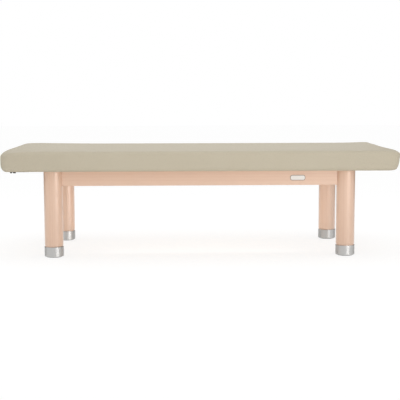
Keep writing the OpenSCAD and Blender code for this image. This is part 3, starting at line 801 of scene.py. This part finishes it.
# %% Lights
def softbox(name, place, aim, width, height, watts, spread=180):
    """A rectangular lamp that faces a point."""
    lamp = bpy.data.objects.new(name, bpy.data.lights.new(name, "AREA"))
    bpy.context.scene.collection.objects.link(lamp)
    lamp.data.shape = "RECTANGLE"
    lamp.data.size, lamp.data.size_y, lamp.data.energy = width, height, watts
    lamp.data.spread = math.radians(spread)
    lamp.location = place
    lamp.rotation_mode = "QUATERNION"
    lamp.rotation_quaternion = (Vector(aim) - Vector(place)).to_track_quat("-Z", "Y")
    lamp.visible_camera = False
    return lamp


middle = (cad_low + cad_high) / 2
stripe = softbox("stripe", place=(1.5, -2.4, 0.45), aim=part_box("leg_fl")[0], width=1.6, height=0.86,
                 watts=6.3, spread=100)
low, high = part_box("leg_bl")
glint = softbox("glint", place=(1.13, -1.0, 0.17), aim=((low.x + high.x) / 2, (low.y + high.y) / 2, 0.17),
                width=0.36, height=0.3, watts=0.09, spread=22)
stripe.visible_diffuse = glint.visible_diffuse = False
softbox("overhead", place=(0, 0, 2.6), aim=middle, width=3.0, height=2.0, watts=17)
fill = softbox("fill", place=(0.8, -7.8, 0.36), aim=middle, width=8.0, height=0.7, watts=53)
strip = softbox("strip", place=(0.55, -1.6, 0.02), aim=(0.55, -1.6, 1), width=2.6, height=0.3, watts=11.5)
under = softbox("under", place=(0, 0, 0.01), aim=(0, 0, 1), width=1.2, height=0.4, watts=1.5)
hidden = softbox("hidden", place=(0, -0.22, 0.16), aim=(0, 0.3, 0.16), width=1.0, height=0.24, watts=0.5)
for lamp in (fill, strip, under, hidden):
    lamp.visible_glossy = False
print("lamps without shine:", ", ".join(lamp.name for lamp in (fill, strip, under, hidden)))

# %% Black cards
card_width, card_height = 3.4, 1.5
card_turn = math.radians(62)
card_x, card_y = 2.4, 1.7
card_mesh = bmesh.new()
for side in (-1, 1):
    made = bmesh.ops.create_grid(card_mesh, x_segments=1, y_segments=1, size=0.5)["verts"]
    bmesh.ops.scale(card_mesh, verts=made, vec=(card_width, card_height, 1))
    bmesh.ops.rotate(card_mesh, verts=made, cent=(0, 0, 0), matrix=Matrix.Rotation(math.pi / 2, 3, "X"))
    bmesh.ops.rotate(card_mesh, verts=made, cent=(0, 0, 0),
                     matrix=Matrix.Rotation(-side * card_turn, 3, "Z"))
    bmesh.ops.translate(card_mesh, verts=made, vec=(side * card_x, card_y, card_height / 2))
cards = bpy.data.objects.new("black_cards", bpy.data.meshes.new("black_cards"))
bpy.context.scene.collection.objects.link(cards)
card_mesh.to_mesh(cards.data)
card_mesh.free()
velvet, _ = new_material("black_velvet", "#000000", 1.0, Specular_IOR_Level=0)
cards.data.materials.append(velvet)
cards.visible_camera = cards.visible_diffuse = cards.visible_shadow = cards.visible_transmission = False
cards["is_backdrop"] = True
print("cards", card_width, "x", card_height, "m")


# %% World
def white_when_seen(tree, mix, path):
    """Lets a mix shader take its second shader when the camera, a gloss or a clear material looks."""
    seen = path.outputs["Is Camera Ray"]
    for other in ("Is Glossy Ray", "Is Transmission Ray"):
        larger = tree.nodes.new("ShaderNodeMath")
        larger.operation = "MAXIMUM"
        tree.links.new(seen, larger.inputs[0])
        tree.links.new(path.outputs[other], larger.inputs[1])
        seen = larger.outputs[0]
    tree.links.new(seen, mix.inputs[0])


glow_low, glow_high = 1.18, 0.62
fade_from, fade_to = math.radians(10), math.radians(45)

world = bpy.data.worlds.new("studio")
bpy.context.scene.world = world
world.use_nodes = True
tree = world.node_tree
room = tree.nodes["Background"]
way = tree.nodes.new("ShaderNodeTexCoord")
height = tree.nodes.new("ShaderNodeSeparateXYZ")
tree.links.new(way.outputs["Generated"], height.inputs[0])
glow = tree.nodes.new("ShaderNodeMapRange")
glow.interpolation_type = "SMOOTHSTEP"
glow.inputs["From Min"].default_value = math.sin(fade_from)
glow.inputs["From Max"].default_value = math.sin(fade_to)
glow.inputs["To Min"].default_value = glow_low
glow.inputs["To Max"].default_value = glow_high
tree.links.new(height.outputs["Z"], glow.inputs["Value"])
tree.links.new(glow.outputs["Result"], room.inputs["Strength"])
room.inputs["Color"].default_value = (1, 1, 1, 1)
backdrop = tree.nodes.new("ShaderNodeBackground")
backdrop.inputs["Color"].default_value = (1, 1, 1, 1)
mix = tree.nodes.new("ShaderNodeMixShader")
tree.links.new(room.outputs[0], mix.inputs[1])
tree.links.new(backdrop.outputs[0], mix.inputs[2])
tree.links.new(mix.outputs[0], tree.nodes["World Output"].inputs["Surface"])
white_when_seen(tree, mix, tree.nodes.new("ShaderNodeLightPath"))
print("the horizon glows", glow_low, "and the zenith", glow_high)

# %% Paper floor
floor_size = 40
paper_glow = 0.80
paper_mesh = bmesh.new()
bmesh.ops.create_grid(paper_mesh, x_segments=1, y_segments=1, size=floor_size / 2)
paper = bpy.data.objects.new("paper_floor", bpy.data.meshes.new("paper_floor"))
bpy.context.scene.collection.objects.link(paper)
paper_mesh.to_mesh(paper.data)
paper_mesh.free()
white_paper = bpy.data.materials.new("white_paper")
white_paper.use_nodes = True
tree = white_paper.node_tree
tree.nodes.remove(tree.nodes["Principled BSDF"])
plain = add(white_paper, "ShaderNodeBsdfDiffuse", {}, {"Color": linear("#F0F0F0")})
lit = add(white_paper, "ShaderNodeBsdfDiffuse", {}, {"Color": linear("#8A8A8A")})
glow = add(white_paper, "ShaderNodeEmission", {}, {"Strength": paper_glow})
bright = add(white_paper, "ShaderNodeAddShader", {}, {0: lit.outputs[0], 1: glow.outputs[0]})
mix = add(white_paper, "ShaderNodeMixShader", {}, {1: plain.outputs[0], 2: bright.outputs[0]})
white_when_seen(tree, mix, tree.nodes.new("ShaderNodeLightPath"))
clear = add(white_paper, "ShaderNodeBsdfTransparent", {}, {})
below = add(white_paper, "ShaderNodeNewGeometry", {}, {})
both = add(white_paper, "ShaderNodeMixShader", {},
           {0: below.outputs["Backfacing"], 1: mix.outputs[0], 2: clear.outputs[0]})
tree.links.new(both.outputs[0], tree.nodes["Material Output"].inputs["Surface"])
paper.data.materials.append(white_paper)
paper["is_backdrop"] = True
bpy.context.scene.view_settings.view_transform = "Standard"
print("paper", floor_size, "m wide")

# %% [markdown]
# ## Sizes
# The dressed table keeps the size of the CAD model within a few millimetres, so both boxes are
# written down and printed, the one from before the dressing and the one from after it.

# %% Sizes
low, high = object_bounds()
